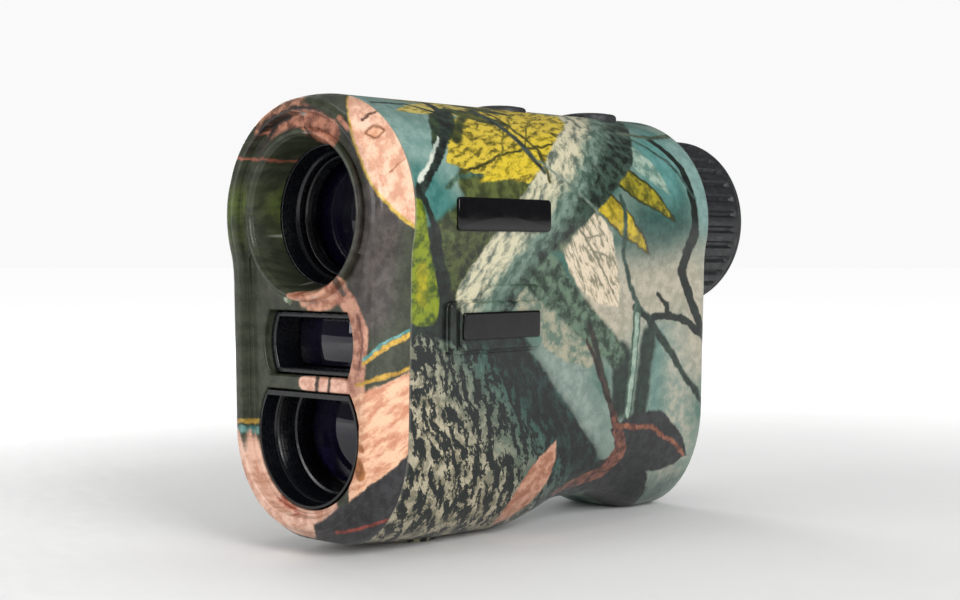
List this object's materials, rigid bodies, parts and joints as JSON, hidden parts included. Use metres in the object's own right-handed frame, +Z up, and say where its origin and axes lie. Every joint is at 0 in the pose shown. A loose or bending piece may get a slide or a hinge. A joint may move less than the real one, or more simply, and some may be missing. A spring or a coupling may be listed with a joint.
{
  "type": "laser rangefinder",
  "caption": "Palm-sized monocular laser rangefinder with a stacked objective, emitter and receiver, top buttons, a side charging-port flap and a turning eyepiece.",
  "frame": {"origin": "under the middle of the object, on the surface it stands on", "axes": "+Z up; +Y from the objective towards the eyepiece along the line of sight; +X towards the side that has the charging port"},
  "size_m": [0.0405, 0.104, 0.0769],
  "materials": {
    "camo_shell": "printed leaf and bark pattern in teal, cream, green and yellow under a satin clear coat",
    "camo_bezel": "printed bark pattern in charcoal, olive and peach under a satin clear coat",
    "camo_cover": "soft cover with the same printed pattern as the shell",
    "gloss_plate": "blank black plate with a clear domed top",
    "button_rubber": "dark grey, fine matt grain",
    "grip_rubber": "ribbed blue-black rubber, matt",
    "black_plastic": "black, blackened inside, turned rings catch the light",
    "coated_glass": "polished, violet anti-reflection coating",
    "clear_glass": "polished optical glass",
    "circuit_board": "green solder mask",
    "battery_sleeve": "blue sleeve",
    "chassis_metal": "black die-cast chassis metal",
    "steel": "bright",
    "brass": "machined",
    "seal_rubber": "soft black"
  },
  "bodies": {
    "housing": {"front_bezel": "camo_bezel", "main_housing": "camo_shell", "rear_cover": "camo_shell", "rear_screw_1": "steel", "rear_screw_2": "steel", "rear_screw_3": "steel", "rear_screw_4": "steel", "front_seal": "seal_rubber", "objective_cell": "black_plastic", "objective_lens": "coated_glass", "objective_retaining_ring": "black_plastic", "emitter_cell": "black_plastic", "emitter_lens": "coated_glass", "laser_diode": "brass", "laser_board": "circuit_board", "receiver_cell": "black_plastic", "receiver_lens": "coated_glass", "detector": "steel", "receiver_board": "circuit_board", "bulkhead": "chassis_metal", "prism_cage": "chassis_metal", "front_prism": "clear_glass", "rear_prism": "clear_glass", "reticle_display": "clear_glass", "switch_board": "circuit_board", "power_switch": "steel", "mode_switch": "steel", "main_board": "circuit_board", "battery_cell": "battery_sleeve", "battery_cradle": "chassis_metal", "charge_board": "circuit_board", "charge_socket": "steel", "port_hinge_strip": "camo_cover", "brand_plate": "gloss_plate", "tripod_insert": "brass", "eyepiece_barrel": "black_plastic"},
    "power_button": {"power_button": "button_rubber"},
    "mode_button": {"mode_button": "button_rubber"},
    "diopter_ring": {"diopter_ring": "grip_rubber", "eyecup": "grip_rubber"},
    "eye_lens_cell": {"eye_lens_cell": "black_plastic", "eye_lens": "coated_glass", "field_lens": "coated_glass"},
    "port_cover": {"port_cover": "camo_cover", "model_plate": "gloss_plate"}
  },
  "joints": [
    {"name": "power_button_press", "type": "slide", "parent": "housing", "child": "power_button", "axis": [0, 0, -1], "range_m": [0, 0.0005], "stiffness_N_per_m": 1500},
    {"name": "mode_button_press", "type": "slide", "parent": "housing", "child": "mode_button", "axis": [0, 0, -1], "range_m": [0, 0.0005], "stiffness_N_per_m": 1500},
    {"name": "diopter_turn", "type": "hinge", "parent": "housing", "child": "diopter_ring", "pos_m": [0, 0.044, 0.0559], "axis": [0, 1, 0], "range_deg": [-90, 90]},
    {"name": "eye_lens_focus", "type": "slide", "parent": "housing", "child": "eye_lens_cell", "axis": [0, 1, 0], "range_m": [-0.0011, 0.0011]},
    {"name": "port_cover_hinge", "type": "hinge", "parent": "housing", "child": "port_cover", "pos_m": [0.0202, -0.03495, 0.0374], "axis": [0, 0, -1], "range_deg": [0, 110]}
  ],
  "couplings": [
    {"joint": "eye_lens_focus", "follows": "diopter_turn", "m_per_rad": 0.000637}
  ]
}
